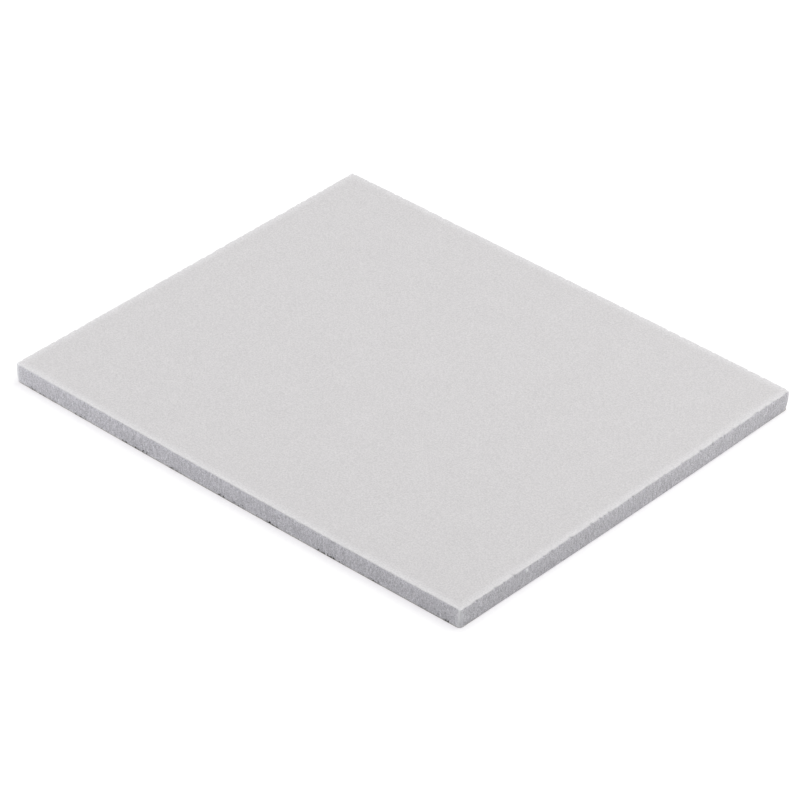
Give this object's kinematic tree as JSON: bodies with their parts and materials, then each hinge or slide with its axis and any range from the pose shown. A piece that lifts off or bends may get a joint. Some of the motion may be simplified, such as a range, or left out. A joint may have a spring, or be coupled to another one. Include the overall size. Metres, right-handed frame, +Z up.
{
  "type": "foam back protector pad",
  "caption": "Flat rectangular slab of soft light-grey foam with small rounded corners, self-adhesive underneath and covered by a peel-off paper liner; cushions a rider's back.",
  "frame": {"origin": "middle of the release liner's underside, which is the face that the part rests on", "axes": "+X along the long side, +Y along the short side away from the bowed front side, +Z up out of the foam's face"},
  "size_m": [0.27, 0.23, 0.01],
  "materials": {
    "foam": "matte",
    "adhesive": "satin",
    "carrier_tissue": "matte",
    "liner_paper": "satin"
  },
  "bodies": {
    "liner": {"release_liner": "liner_paper"},
    "pad": {"bond_side_adhesive": "adhesive", "tape_carrier": "carrier_tissue", "foam_side_adhesive": "adhesive", "foam_slab": "foam"}
  },
  "joints": [
    {"name": "pad_lift", "type": "slide", "parent": "liner", "child": "pad", "axis": [0, 0, 1], "range_m": [0, 0.1]}
  ]
}
